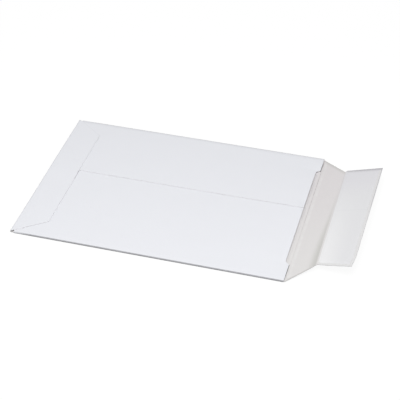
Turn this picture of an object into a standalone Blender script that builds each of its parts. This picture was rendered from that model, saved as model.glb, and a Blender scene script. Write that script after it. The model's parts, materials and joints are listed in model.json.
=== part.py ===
"""Solid-board mailing envelope, open and empty, lying on its front.

One die-cut blank is folded into a flat pocket: a front panel, two back panels that lap along a glued
seam, and a bottom flap glued over them. The front panel runs on past the mouth as a band and a closing
flap, which carries a self-seal strip under a release liner. The board is split at those two creases,
because they turn in use.

The origin is on the floor under the middle of the pocket. X runs from the bottom fold to the mouth,
Y from the near side to the far side, Z up. Lengths are in metres.
"""

import math

import bmesh
import bpy

# the board and the glue in its laps
BOARD = 0.0006
GLUE_LINE = 0.0001
GLUE_MARGIN = 0.0060

# the pocket, empty
LENGTH = 0.340
WIDTH = 0.248
EMPTY_GAP = 0.0012

# the bow of the back panels off the front towards the mouth
MOUTH_GAPE = 0.0016
GAPE_LENGTH = 0.160

# the lap of the far back panel over the near one
SEAM_Y = 0.0147
SEAM_LAP = 0.0280
SEAM_GLUE_WIDTH = 0.0180

# the bottom flap, and the relief between its fold and the side folds
BOTTOM_FLAP_DEPTH = 0.0393
CORNER_RELIEF = 0.0030
BOTTOM_TIP_INSET = 0.0300
BOTTOM_DRAPE = 0.0300

# the mouth edge of the back panels and its thumb recess
BACK_SETBACK = 0.0012
RECESS_DEPTH = 0.0066
RECESS_HALF = 0.0905
RECESS_FLARE = 0.0045
RECESS_RADIUS = 0.0020

# the band that spans the thickness of a filled pocket
BAND_DEPTH = 0.0324
BAND_TAPER = 0.0289
BAND_RAISE = math.radians(15.0)

# the closing flap, which lies a little askew: its root is off centre and its free edge out of square
FLAP_DEPTH = 0.0462
FLAP_SHOULDER = 0.0009
FLAP_SHOULDER_RUN = 0.0016
FLAP_FLARE = 0.0033
FLAP_ROOT_ASIDE = 0.0016
FLAP_OUT_OF_SQUARE = 0.0018
FLAP_RAISE = math.radians(15.5)
FLAP_CLIP_ALONG = 0.0160
FLAP_CLIP_DEPTH = 0.0022
FLAP_CORNER_RADIUS = 0.0010

# the self-seal strip and its liner
ADHESIVE_THICKNESS = 0.0001
ADHESIVE_INSET = 0.0030
LINER_THICKNESS = 0.0001
LINER_CREASE_MARGIN = 0.0012
LINER_EDGE_MARGIN = 0.0034

# clearances at the creases and between layers
CREASE_GAP = 0.0003
LAYER_GAP = 0.0001

# fineness of the curves
FOLD_STEPS = 8
GAPE_STEPS = 10
PANEL_STEPS = 7
DRAPE_STEPS = 5
CORNER_STEPS = 5

HALF_LENGTH = LENGTH / 2
HALF_WIDTH = WIDTH / 2

# heights of the board's middle, with the front panel flat on the floor
FRONT_Z = BOARD / 2
BACK_Z = BOARD + EMPTY_GAP + BOARD / 2
LAP_RISE = BOARD + GLUE_LINE

# the side folds, and the blank's reach from its middle to their far ends
SIDE_RADIUS = (BACK_Z - FRONT_Z) / 2
SIDE_CENTRE = HALF_WIDTH - BOARD / 2 - SIDE_RADIUS
SIDE_SCORE = SIDE_CENTRE + math.pi * SIDE_RADIUS
FAR_EDGE = SIDE_SCORE + SIDE_CENTRE - SEAM_Y
NEAR_EDGE = SIDE_SCORE + SIDE_CENTRE + SEAM_Y + SEAM_LAP

# the ends of the back panels
MOUTH_X = HALF_LENGTH - BACK_SETBACK
BOTTOM_RADIUS = (BACK_Z + 2 * LAP_RISE - FRONT_Z) / 2
BOTTOM_SCORE = -HALF_LENGTH + BOARD / 2 + BOTTOM_RADIUS
BACK_START = BOTTOM_SCORE + CORNER_RELIEF

# the bottom flap on the blank
BOTTOM_FOLD = math.pi * BOTTOM_RADIUS
BOTTOM_TIP_X = -HALF_LENGTH + BOTTOM_FLAP_DEPTH
BOTTOM_RUN = BOTTOM_TIP_X - BOTTOM_SCORE
BOTTOM_FREE = BOTTOM_SCORE - BOTTOM_FOLD - BOTTOM_RUN
BOTTOM_TIP_HALF = HALF_WIDTH - BOTTOM_TIP_INSET

BAND_END_HALF = SIDE_CENTRE - BAND_TAPER
FLAP_ROOT_HALF = BAND_END_HALF + FLAP_SHOULDER


def clear_scene():
    """Remove whatever the opened file holds."""
    for thing in list(bpy.data.objects):
        bpy.data.objects.remove(thing, do_unlink=True)


def collection(name):
    """Add a collection to the scene."""
    made = bpy.data.collections.new(name)
    bpy.context.scene.collection.children.link(made)
    return made


def finish(name, colour, roughness):
    """Make a plain finish."""
    material = bpy.data.materials.new(name)
    material.use_nodes = True
    shader = material.node_tree.nodes["Principled BSDF"]
    shader.inputs["Base Color"].default_value = (*colour, 1.0)
    shader.inputs["Roughness"].default_value = roughness
    shader.inputs["Metallic"].default_value = 0.0
    return material


def spread(start, end, steps):
    """Evenly spaced values from start to end."""
    return [start + (end - start) * i / steps for i in range(steps + 1)]


def ease(share):
    """Ease from 0 to 1."""
    share = min(max(share, 0.0), 1.0)
    return share * share * (3.0 - 2.0 * share)


def mirrored(points):
    """Close an outline with its own reflection in the X axis."""
    return points + [(x, -y) for x, y in reversed(points)]


def rounded(before, corner, after, radius):
    """Replace a corner of an outline by an arc that touches both its sides."""
    to_before = (before[0] - corner[0], before[1] - corner[1])
    to_after = (after[0] - corner[0], after[1] - corner[1])
    reach_before = math.hypot(*to_before)
    reach_after = math.hypot(*to_after)
    unit_before = (to_before[0] / reach_before, to_before[1] / reach_before)
    unit_after = (to_after[0] / reach_after, to_after[1] / reach_after)
    cosine = unit_before[0] * unit_after[0] + unit_before[1] * unit_after[1]
    half_angle = math.acos(max(-1.0, min(1.0, cosine))) / 2
    tangent = min(radius / math.tan(half_angle), reach_before / 2, reach_after / 2)
    start = (corner[0] + unit_before[0] * tangent, corner[1] + unit_before[1] * tangent)
    end = (corner[0] + unit_after[0] * tangent, corner[1] + unit_after[1] * tangent)
    points = []
    for share in spread(0.0, 1.0, CORNER_STEPS):
        weights = ((1 - share) ** 2, 2 * share * (1 - share), share ** 2)
        points.append(tuple(
            weights[0] * start[i] + weights[1] * corner[i] + weights[2] * end[i] for i in (0, 1)
        ))
    return points


def gape(x, y):
    """Lift of the back panels, which bow off the front towards the mouth."""
    along = ease(1.0 - (HALF_LENGTH - x) / GAPE_LENGTH)
    across = 1.0 - min(abs(y) / SIDE_CENTRE, 1.0) ** 4
    return MOUTH_GAPE * along * across


def near_back_z(x, y):
    """Middle of the near back panel, which runs on under the lap."""
    return BACK_Z + gape(x, y)


def far_back_z(x, y):
    """Middle of the far back panel, which climbs from its side fold onto the lap."""
    climb = (SIDE_CENTRE - y) / (SIDE_CENTRE - SEAM_Y - SEAM_LAP)
    return BACK_Z + gape(x, y) + LAP_RISE * min(climb, 1.0)


def bottom_flap_z(x, y):
    """Middle of the bottom flap, which drapes over the step of the seam."""
    if y >= SEAM_Y:
        return far_back_z(x, y) + LAP_RISE
    onto_step = ease(1.0 - (SEAM_Y - y) / BOTTOM_DRAPE)
    return near_back_z(x, y) + LAP_RISE * (1.0 + onto_step)


def fold_across(x, u):
    """Carry a point of the blank round a side fold; u is its distance from the blank's middle line."""
    side = math.copysign(1.0, u)
    past = abs(u) - SIDE_CENTRE
    if past <= 0.0:
        return (x, u, FRONT_Z)
    if abs(u) <= SIDE_SCORE:
        angle = past / SIDE_RADIUS
        y = side * (SIDE_CENTRE + SIDE_RADIUS * math.sin(angle))
        return (x, y, FRONT_Z + SIDE_RADIUS * (1.0 - math.cos(angle)))
    y = side * (SIDE_CENTRE - (abs(u) - SIDE_SCORE))
    height = far_back_z(x, y) if u > 0 else near_back_z(x, y)
    return (x, y, height)


def fold_bottom(x, y):
    """Carry a point of the blank round the bottom fold and over the back panels."""
    past = BOTTOM_SCORE - x
    radius = (bottom_flap_z(-HALF_LENGTH, y) - FRONT_Z) / 2
    fold_x = -HALF_LENGTH + BOARD / 2 + radius
    if past <= BOTTOM_FOLD:
        angle = math.pi * past / BOTTOM_FOLD
        return (fold_x - radius * math.sin(angle), y, FRONT_Z + radius * (1.0 - math.cos(angle)))
    share = (past - BOTTOM_FOLD) / BOTTOM_RUN
    x = fold_x + share * (BOTTOM_TIP_X - fold_x)
    return (x, y, bottom_flap_z(x, y))


def folded(x, u):
    """Carry a point of the flat blank to its place on the folded pocket."""
    if x <= BOTTOM_SCORE:
        return fold_bottom(x, u)
    return fold_across(x, u)


def mouth_edge(edge_y):
    """Far half of the back panels' mouth edge as (x, y), from the side fold to edge_y."""
    step_foot = (MOUTH_X, RECESS_HALF + RECESS_FLARE)
    step_head = (HALF_LENGTH - RECESS_DEPTH, RECESS_HALF)
    side = (MOUTH_X, SIDE_CENTRE)
    inner = (HALF_LENGTH - RECESS_DEPTH, edge_y)
    return (
        rounded(side, step_foot, step_head, RECESS_RADIUS)
        + rounded(step_foot, step_head, inner, RECESS_RADIUS)
        + [inner]
    )


def blank_outline():
    """The pocket's part of the die-cut blank, drawn flat as (x, u)."""
    front_end = HALF_LENGTH - CREASE_GAP / 2
    far_mouth = [(x, SIDE_SCORE + SIDE_CENTRE - y) for x, y in mouth_edge(SEAM_Y)]
    near_mouth = [(x, -SIDE_SCORE - SIDE_CENTRE + y) for x, y in mouth_edge(-SEAM_Y - SEAM_LAP)]
    far_side = [(front_end, SIDE_CENTRE), (MOUTH_X, SIDE_CENTRE), (MOUTH_X, SIDE_SCORE)]
    far_side += far_mouth + [(BACK_START, FAR_EDGE), (BACK_START, SIDE_CENTRE)]
    bottom = [
        (BOTTOM_SCORE - BOTTOM_FOLD, SIDE_CENTRE),
        (BOTTOM_FREE, BOTTOM_TIP_HALF),
        (BOTTOM_FREE, -BOTTOM_TIP_HALF),
        (BOTTOM_SCORE - BOTTOM_FOLD, -SIDE_CENTRE),
    ]
    near_side = [(BACK_START, -SIDE_CENTRE), (BACK_START, -NEAR_EDGE)]
    near_side += list(reversed(near_mouth))
    near_side += [(MOUTH_X, -SIDE_SCORE), (MOUTH_X, -SIDE_CENTRE), (front_end, -SIDE_CENTRE)]
    return far_side + bottom + near_side


def scores_across():
    """Places across the blank where it bends."""
    side = spread(SIDE_CENTRE, SIDE_SCORE, FOLD_STEPS)
    far_lap = SIDE_SCORE + SIDE_CENTRE - SEAM_Y - SEAM_LAP
    far_back = spread(SIDE_SCORE, far_lap, PANEL_STEPS)[1:] + [FAR_EDGE - SEAM_LAP / 2]
    near_back = spread(SIDE_SCORE, NEAR_EDGE, 2 * PANEL_STEPS)[1:-1]
    drape = spread(SEAM_Y - BOTTOM_DRAPE, SEAM_Y, DRAPE_STEPS) + [SEAM_Y + SEAM_LAP]
    return side + far_back + [-u for u in side + near_back] + drape


def scores_along():
    """Places along the blank where it bends."""
    bottom = spread(BOTTOM_SCORE, BOTTOM_SCORE - BOTTOM_FOLD, FOLD_STEPS)
    bow = spread(HALF_LENGTH - GAPE_LENGTH, HALF_LENGTH - RECESS_DEPTH, GAPE_STEPS)
    return bottom + [BACK_START] + bow + [MOUTH_X]


def score(bm, place, normal):
    """Cut every face of the blank along a straight line."""
    geometry = bm.verts[:] + bm.edges[:] + bm.faces[:]
    bmesh.ops.bisect_plane(bm, geom=geometry, dist=1e-7, plane_co=place, plane_no=normal)


def wall(bm, name, thickness, material, home):
    """Turn an open surface into a wall of the given thickness."""
    bmesh.ops.recalc_face_normals(bm, faces=bm.faces[:])
    mesh = bpy.data.meshes.new(name)
    bm.to_mesh(mesh)
    bm.free()
    mesh.materials.append(material)
    made = bpy.data.objects.new(name, mesh)
    home.objects.link(made)
    solidify = made.modifiers.new("wall", "SOLIDIFY")
    solidify.thickness = thickness
    solidify.offset = 0.0
    solidify.use_even_offset = True
    return made


def pocket_board(material, home):
    """Draw the blank, score it and fold it."""
    bm = bmesh.new()
    bm.faces.new([bm.verts.new((x, u, 0.0)) for x, u in blank_outline()])
    for u in scores_across():
        score(bm, (0.0, u, 0.0), (0.0, 1.0, 0.0))
    for x in scores_along():
        score(bm, (x, 0.0, 0.0), (1.0, 0.0, 0.0))
    for vert in bm.verts:
        vert.co = folded(vert.co.x, vert.co.y)
    return wall(bm, "pocket", BOARD, material, home)


def glue_patch(name, x_places, y_places, under, material, home):
    """A film of glue on top of a panel; under gives the height of the panel's middle."""
    film = GLUE_LINE + BOARD / 2
    bm = bmesh.new()
    rows = [
        [bm.verts.new((x, y, under(x, y) + (BOARD + GLUE_LINE) / 2)) for y in y_places]
        for x in x_places
    ]
    for row, next_row in zip(rows, rows[1:]):
        for i in range(len(row) - 1):
            bm.faces.new((row[i], next_row[i], next_row[i + 1], row[i + 1]))
    made = wall(bm, name, film, material, home)
    made.hide_render = True
    made.display_type = "WIRE"
    return made


def glue_patches(material, home):
    """The glue in the seam and under the two halves of the bottom flap."""
    seam_middle = SEAM_Y + SEAM_LAP / 2
    seam_y = (seam_middle - SEAM_GLUE_WIDTH / 2, seam_middle + SEAM_GLUE_WIDTH / 2)
    glue_start = BACK_START + GLUE_MARGIN
    seam_x = spread(glue_start, HALF_LENGTH - RECESS_DEPTH - GLUE_MARGIN, GAPE_STEPS)
    bottom_x = (glue_start, BOTTOM_TIP_X - GLUE_MARGIN)
    reach = BOTTOM_TIP_HALF - GLUE_MARGIN
    far_y = (SEAM_Y + GLUE_MARGIN, SEAM_Y + SEAM_LAP, reach)
    near_y = (-reach, SEAM_Y - BOTTOM_DRAPE - GLUE_MARGIN)
    return [
        glue_patch("seam_glue", seam_x, seam_y, near_back_z, material, home),
        glue_patch("far_bottom_glue", bottom_x, far_y, far_back_z, material, home),
        glue_patch("near_bottom_glue", bottom_x, near_y, near_back_z, material, home),
    ]


def join(board, patches):
    """Make the board and its glue one solid."""
    for patch in patches:
        union = board.modifiers.new(patch.name, "BOOLEAN")
        union.operation = "UNION"
        union.solver = "EXACT"
        union.object = patch


def flat_piece(name, outline, thickness, material, home):
    """A flat piece of sheet, cut to an outline about its own middle height."""
    curve = bpy.data.curves.new(name, "CURVE")
    curve.dimensions = "2D"
    curve.fill_mode = "BOTH"
    curve.extrude = thickness / 2
    spline = curve.splines.new("POLY")
    spline.points.add(len(outline) - 1)
    for point, (x, y) in zip(spline.points, outline):
        point.co = (x, y, 0.0, 1.0)
    spline.use_cyclic_u = True
    curve.materials.append(material)
    made = bpy.data.objects.new(name, curve)
    home.objects.link(made)
    return made


def band_outline():
    """The mouth band, tapered from the pocket's width to the closing flap."""
    return mirrored([(CREASE_GAP / 2, SIDE_CENTRE), (BAND_DEPTH - CREASE_GAP / 2, BAND_END_HALF)])


def flap_half(x):
    """Half the closing flap's width at a distance from its crease."""
    return FLAP_ROOT_HALF + FLAP_FLARE * x / FLAP_DEPTH


def flap_aside(x):
    """How far the closing flap's middle lies to the far side at a distance from its crease."""
    return FLAP_ROOT_ASIDE * (1.0 - x / FLAP_DEPTH)


def flap_end(y):
    """Distance from the crease to the closing flap's free edge."""
    return FLAP_DEPTH + FLAP_OUT_OF_SQUARE * y / flap_half(FLAP_DEPTH)


def sheet_outline(crease_margin, edge_margin):
    """The closing flap drawn in by its margins, from the far root round to the near one."""
    tip_half = flap_half(FLAP_DEPTH) - edge_margin
    root_half = flap_half(crease_margin) - edge_margin
    far_root = (crease_margin, flap_aside(crease_margin) + root_half)
    far_tip = (flap_end(tip_half) - edge_margin, tip_half)
    clip_y = FLAP_CLIP_ALONG - tip_half
    clip_head = (flap_end(clip_y) - edge_margin, clip_y)
    clip_foot = (flap_end(-tip_half) - edge_margin - FLAP_CLIP_DEPTH, -tip_half)
    near_root = (crease_margin, flap_aside(crease_margin) - root_half)
    outline = [far_root] + rounded(far_root, far_tip, clip_head, FLAP_CORNER_RADIUS)
    outline += rounded(far_tip, clip_head, clip_foot, FLAP_CORNER_RADIUS)
    outline += rounded(clip_head, clip_foot, near_root, FLAP_CORNER_RADIUS)
    return outline + [near_root]


def flap_outline():
    """The closing flap, whose shoulders step out from the ends of its crease."""
    far_start = (CREASE_GAP / 2, BAND_END_HALF)
    near_start = (CREASE_GAP / 2, -BAND_END_HALF)
    return [far_start] + sheet_outline(FLAP_SHOULDER_RUN, 0.0) + [near_start]


def adhesive_outline():
    """The self-seal strip, which stays inside its liner."""
    start = LINER_CREASE_MARGIN + ADHESIVE_INSET
    half = FLAP_ROOT_HALF - LINER_EDGE_MARGIN - ADHESIVE_INSET
    end = flap_end(-half) - LINER_EDGE_MARGIN - ADHESIVE_INSET - FLAP_CLIP_DEPTH
    return mirrored([(start, half), (end, half)])


def crease(name, parent, place, raise_angle, home):
    """An empty on a crease's turning axis, at the inner face of the board."""
    made = bpy.data.objects.new(name, None)
    made.parent = parent
    made.location = place
    made.rotation_euler = (0.0, -raise_angle, 0.0)
    home.objects.link(made)
    return made


def carry(piece, parent, height):
    """Fix a flat piece to a crease's empty, its middle at a height over the board's inner face."""
    piece.parent = parent
    piece.location = (0.0, 0.0, height)


def build():
    """Make the envelope."""
    clear_scene()
    parts = collection("envelope")
    guides = collection("glue")
    board = finish("white_board", (0.86, 0.87, 0.90), 0.55)
    glue = finish("glue", (0.80, 0.78, 0.70), 0.50)
    adhesive = finish("adhesive", (0.88, 0.86, 0.78), 0.35)
    liner = finish("liner", (0.84, 0.85, 0.87), 0.30)

    pocket = pocket_board(board, parts)
    join(pocket, glue_patches(glue, guides))

    mouth_crease = crease("mouth_crease", None, (HALF_LENGTH, 0.0, BOARD), BAND_RAISE, parts)
    band = flat_piece("mouth_band", band_outline(), BOARD, board, parts)
    carry(band, mouth_crease, -BOARD / 2)

    flap_turn = FLAP_RAISE - BAND_RAISE
    flap_crease = crease("flap_crease", mouth_crease, (BAND_DEPTH, 0.0, 0.0), flap_turn, parts)
    flap = flat_piece("closing_flap", flap_outline(), BOARD, board, parts)
    carry(flap, flap_crease, -BOARD / 2)

    strip = flat_piece("adhesive_strip", adhesive_outline(), ADHESIVE_THICKNESS, adhesive, parts)
    strip_height = LAYER_GAP + ADHESIVE_THICKNESS / 2
    carry(strip, flap_crease, strip_height)
    cover_outline = sheet_outline(LINER_CREASE_MARGIN, LINER_EDGE_MARGIN)
    cover = flat_piece("release_liner", cover_outline, LINER_THICKNESS, liner, parts)
    cover_height = strip_height + ADHESIVE_THICKNESS / 2 + LAYER_GAP + LINER_THICKNESS / 2
    carry(cover, flap_crease, cover_height)


build()
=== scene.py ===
import json
import math

import bmesh
import bpy
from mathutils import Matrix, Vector, noise


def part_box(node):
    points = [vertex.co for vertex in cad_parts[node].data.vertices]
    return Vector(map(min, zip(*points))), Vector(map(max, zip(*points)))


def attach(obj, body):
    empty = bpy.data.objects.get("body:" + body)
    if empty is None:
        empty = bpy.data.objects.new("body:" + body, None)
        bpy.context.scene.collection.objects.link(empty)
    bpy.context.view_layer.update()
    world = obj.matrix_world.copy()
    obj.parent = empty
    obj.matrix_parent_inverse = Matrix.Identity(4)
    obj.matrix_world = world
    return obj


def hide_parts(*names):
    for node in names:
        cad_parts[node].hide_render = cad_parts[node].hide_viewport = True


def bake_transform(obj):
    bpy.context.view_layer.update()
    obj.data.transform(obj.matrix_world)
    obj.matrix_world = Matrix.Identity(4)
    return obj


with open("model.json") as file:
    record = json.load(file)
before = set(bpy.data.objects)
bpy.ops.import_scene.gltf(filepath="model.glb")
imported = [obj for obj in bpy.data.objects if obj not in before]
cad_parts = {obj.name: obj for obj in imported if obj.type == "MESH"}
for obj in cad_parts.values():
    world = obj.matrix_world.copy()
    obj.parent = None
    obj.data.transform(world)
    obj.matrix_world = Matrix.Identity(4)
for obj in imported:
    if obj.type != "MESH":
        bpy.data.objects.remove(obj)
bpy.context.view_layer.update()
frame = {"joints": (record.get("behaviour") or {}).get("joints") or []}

# places from the frame
POCKET_LOW, POCKET_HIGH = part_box("pocket")
JOINTS = {joint["name"]: Vector(joint["pos_m"]) for joint in frame["joints"]}
MOUTH_CREASE = JOINTS["mouth_crease"]
FLAP_CREASE = JOINTS["flap_crease"]

# the board
BOARD = 0.0006
GLUE_LINE = 0.0001
LAP_RISE = BOARD + GLUE_LINE
EDGE_SOFTENING = 0.00005
CUT_EDGE_ANGLE = math.radians(60.0)
SMOOTH_ANGLE = math.radians(35.0)
SAME_PLACE = 1e-6

# the pocket
HALF_LENGTH = -POCKET_LOW.x
HALF_WIDTH = POCKET_HIGH.y
EMPTY_GAP = 0.0012
FRONT_Z = BOARD / 2
BACK_Z = BOARD + EMPTY_GAP + BOARD / 2
SIDE_RADIUS = (BACK_Z - FRONT_Z) / 2
SIDE_FOLD = HALF_WIDTH - BOARD / 2 - SIDE_RADIUS
BOTTOM_RADIUS = (BACK_Z + 2 * LAP_RISE - FRONT_Z) / 2
BOTTOM_FOLD = -HALF_LENGTH + BOARD / 2 + BOTTOM_RADIUS
CORNER_RELIEF = 0.0030
SEAM_Y = 0.0147
SEAM_LAP = 0.0280
BOTTOM_FLAP_X = -HALF_LENGTH + 0.0393
BOTTOM_TIP_HALF = HALF_WIDTH - 0.0300
BOTTOM_DRAPE = 0.0300
UNDER_FLAP_Z = BACK_Z + 1.5 * LAP_RISE
MOUTH_GAPE = 0.0006
GAPE_LENGTH = 0.1600
GAPE_HALF = 0.0980
GAPE_FLATNESS = 4
PANEL_WAVER = 0.00008
WAVER_LENGTH = 0.060
WAVER_INSET = 0.030

# the mouth edge of the back panels
BACK_SETBACK = 0.0012
RECESS_DEPTH = 0.0062
RECESS_HALF = 0.0912
RECESS_ASIDE = 0.0020
RECESS_FLARE = 0.0045
RECESS_ROUNDING = 0.22
RECESS_DRAW = 2 * RECESS_DEPTH
RECESS_CORNER_SAG = 0.0006
RECESS_SAG_WIDTH = 0.0055
RECESS_SAG_LENGTH = 0.0300

# the band and the closing flap
BAND_DEPTH = (FLAP_CREASE - MOUTH_CREASE).length
BAND_RAISE = math.atan2(FLAP_CREASE.z - MOUTH_CREASE.z, FLAP_CREASE.x - MOUTH_CREASE.x)
BAND_TAPER = 0.0289
BAND_END_HALF = SIDE_FOLD - BAND_TAPER
FLAP_RAISE = math.radians(15.5)
FLAP_DEPTH = 0.0462
FLAP_SHOULDER = 0.0009
FLAP_SHOULDER_RUN = 0.0016
FLAP_FLARE = 0.0033
FLAP_ROOT_ASIDE = 0.0016
FLAP_OUT_OF_SQUARE = 0.0018
FLAP_CLIP_ALONG = 0.0160
FLAP_CLIP_DEPTH = 0.0022
CORNER_RADIUS = 0.0010
BOARD_JOIN = 0.0010
SPARE_ALONG = 1.2
SPARE_ACROSS = 1.1

# the strip and its liner
LAYER_GAP = 0.0001
SHEET_THICKNESS = 0.0001
LINER_CREASE_MARGIN = 0.0012
LINER_EDGE_MARGIN = 0.0034
STRIP_INSET = 0.0030
STRIP_HEIGHT = LAYER_GAP + SHEET_THICKNESS / 2
LINER_HEIGHT = STRIP_HEIGHT + SHEET_THICKNESS + LAYER_GAP
LINER_LOW = LAYER_GAP / 2 + SHEET_THICKNESS / 2
LINER_REST = 0.0008

# the creases as the board shows them
MOUTH_BEAD_HEIGHT = 0.00014
MOUTH_BEAD_WIDTH = 0.0009
FLAP_BEAD_NEAR = 0.00070
FLAP_BEAD_FAR = 0.00008
FLAP_BEAD_BAND_SIDE = 0.0045
FLAP_BEAD_FLAP_SIDE = 0.0070
BEAD_WIDTHS = 3
BLEND_REACH = 0.0008

# fineness of the bends
FOLD_STEPS = 12
CORNER_STEPS = 4
STATION = 0.0080
BEND_STATION = 0.0012
EDGE_STATION = 0.0006
CREASE_STATION = 0.0002
FLAP_BEND = 0.0160
RECESS_STATION = 0.0007
RECESS_STATIONS = 8
SEAM_STATIONS = (0.003, 0.010)
LINER_SLOPE = STRIP_INSET + 0.0010
LINER_FREE_SLOPE = 0.0060
LINER_FREE_SPARE = 0.0030

# the camera at the photograph's viewing angle
CAMERA_AZIMUTH = 15.51
CAMERA_ELEVATION = 38.00
CAMERA_DISTANCE = 1.5436
CAMERA_TARGET = Vector((0.03478, -0.00054, 0.0))
LENS = 110.93
SENSOR = 36.0

# the light and the floor
LAMP_PLACE = Vector((0.14, -0.84, 1.76))
LAMP_AIM = Vector((0.03, 0.0, 0.0))
LAMP_SIZE = 0.9
LAMP_POWER = 27.8
ROOM_LIGHT = 0.315
FLOOR_RADIUS = 6.0
FLOOR_SIDES = 64
FLOOR_DROP = 0.0001
FLOOR_NEAR = 0.40
FLOOR_FAR = 1.00
FLOOR_SEEN = (0.08, 0.08, 0.08, 1.0)
FLOOR_GLOW = 0.94
FLOOR_BOUNCE = (0.10, 0.10, 0.10, 1.0)
WHITE = (1.0, 1.0, 1.0, 1.0)

# the mix node's colour sockets and output
MIX_FIRST = 6
MIX_SECOND = 7
MIX_RESULT = 2

# what the finishes share
PLAIN_DETAIL = 2.0
SOFT_DETAIL = 3.0
FINE_DETAIL = 4.0
FIBRE_STRETCH = (0.35, 1.0, 1.0)
FIBRE_ROUGHNESS = 0.10
CLOUD_SHARE = 0.6

# the board's coated outside
BOARD_WHITE = (0.862, 0.872, 0.912, 1.0)
BOARD_WHITE_SHADE = (0.842, 0.852, 0.892, 1.0)
COATING_CLOUD = 0.030
COATING_CLOUD_SHARE = 0.7
COATING_FIBRE = 0.0009
COATING_GRAIN = 0.0004
COATING_GRAIN_SHARE = 0.5
COATING_ROUGHNESS = 0.48
COATING_BUMP = 0.12
COATING_RELIEF = 0.00006

# painted shade along its folds, which are also worn matt
FOLD_SHADE = (0.34, 0.34, 0.36, 1.0)
FOLD_SHADE_AND_WEAR_PATCH = 0.004
FOLD_SHADE_AND_WEAR_LEAST = 0.70
FOLD_SHADE_AND_WEAR_AT_CORNER = 0.35
FOLD_SHADE_AND_WEAR_FROM_CORNER = 0.0280
FOLD_SHADE_AND_WEAR_AT_BOTTOM = 0.4
WEAR_ROUGHNESS = 0.12
FAR_SIDE_WIDTH = 0.0050
FAR_SIDE_SHARE = 0.13

# shade beside its laps
LAP_SHADE = (0.62, 0.62, 0.65, 1.0)
LAP_SHADE_WIDTH = 0.0014
LAP_SHADE_SHARE = 0.22
FLAP_EDGE_SHARE = 0.5

# the board's uncoated inside
INSIDE_WHITE = (0.782, 0.752, 0.758, 1.0)
INSIDE_WHITE_SHADE = (0.753, 0.725, 0.731, 1.0)
INSIDE_NEUTRAL = (0.770, 0.765, 0.750, 1.0)
INSIDE_NEUTRAL_SHARE = 0.55
INSIDE_CLOUD = 0.012
INSIDE_FIBRE = 0.0007
INSIDE_FIBRE_SHARE = 0.6
INSIDE_GRAIN = 0.0005
INSIDE_ROUGHNESS = 0.72
INSIDE_BUMP = 0.25
INSIDE_RELIEF = 0.00010
FLECK = (0.62, 0.60, 0.57, 1.0)
FLECK_SIZE = 0.0013
FLECK_DETAIL = 1.0
FLECK_START = 0.66
FLECK_END = 0.78
FLECK_SHARE = 0.10

# painted shade along the mouth fold and at its ends, and a painted highlight on the band beside it
BREAK_SIZE = 0.006
BREAK_STRETCH = (0.3, 1.0, 1.0)
BREAK_START = 0.42
BREAK_END = 0.58
CREASE_SHADE = (0.48, 0.46, 0.46, 1.0)
CREASE_LINE_WIDTH = 0.0008
CREASE_LEAST = 0.50
CREASE_NEAR_FADE = 0.8
HOLLOW_SHADE = (0.12, 0.12, 0.12, 1.0)
HOLLOW_WIDTH = 0.75 * BACK_SETBACK
HOLLOW_FADE = 0.8
HOLLOW_FADE_START = SIDE_FOLD - 0.0150
HOLLOW_FADE_END = SIDE_FOLD - 0.0030
RIDGE_HIGHLIGHT = (0.855, 0.845, 0.840, 1.0)
RIDGE_X = MOUTH_CREASE.x + 0.0030
RIDGE_WIDTH = 0.0030
RIDGE_SHARE = 0.25
RIDGE_BREAK_SHARE = 0.30

# shade under the mouth edge
SHELTERED_SHADE = (0.590, 0.585, 0.610, 1.0)
SHELTERED_X = MOUTH_CREASE.x - RECESS_DEPTH + 0.0018
SHELTERED_WIDTH = 0.0022
SHELTERED_SHARE_FAR = 0.45
SHELTERED_SHARE_NEAR = 0.20

# painted shade on the band beside the closing flap's crease, and its darker ends
BAND_DARKENING = (0.590, 0.585, 0.560, 1.0)
FLAP_CREASE_SHADE_SHARE = 0.90
FLAP_CREASE_SHADE_REACH_FAR = 0.0030
FLAP_CREASE_SHADE_REACH_NEAR = 0.0115
BAND_SHIFT_NEAR = 0.0006
BAND_FADE = FLAP_CREASE.x - 0.0008
BAND_END = FLAP_CREASE.x + 0.0003
BAND_ENDS_SHARE = 0.75
BAND_ENDS_WIDTH_FAR = 0.0080
BAND_ENDS_WIDTH_NEAR = 0.0042
BAND_ENDS_FROM_FOLD = 0.0020

# the closing flap's inside
FLAP_ROOT_X = FLAP_CREASE.x + 0.0004
FLAP_ROOT_WIDTH = 0.0014
FLAP_ROOT_SHARE = 0.30
FLAP_NEUTRAL = (0.785, 0.785, 0.785, 1.0)
FLAP_NEUTRAL_SHARE = 0.8
FLAP_FACE_START = FLAP_CREASE.x + 0.0010
FLAP_FACE_FULL = FLAP_CREASE.x + 0.0030
FAR_END_SHADE = (0.52, 0.51, 0.54, 1.0)
FAR_END_START = BAND_END_HALF - 0.0015
FAR_END_FULL = BAND_END_HALF + 0.0020
FREE_EDGE_SHARE = 0.7
FREE_EDGE_START = 0.0014
FREE_EDGE_FULL = 0.0004
FREE_EDGE_FROM_Y = -0.030
FREE_EDGE_FULL_Y = 0.050

# the board's cut edges
EDGE_WHITE = (0.82, 0.81, 0.82, 1.0)
EDGE_SHADE = (0.72, 0.71, 0.72, 1.0)
EDGE_LAYER = 0.0004
EDGE_LAYER_STRETCH = (0.1, 0.1, 1.0)
EDGE_FIBRE = 0.0008
EDGE_ROUGHNESS = 0.85
EDGE_BUMP = 0.4
EDGE_RELIEF = 0.00010

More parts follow.
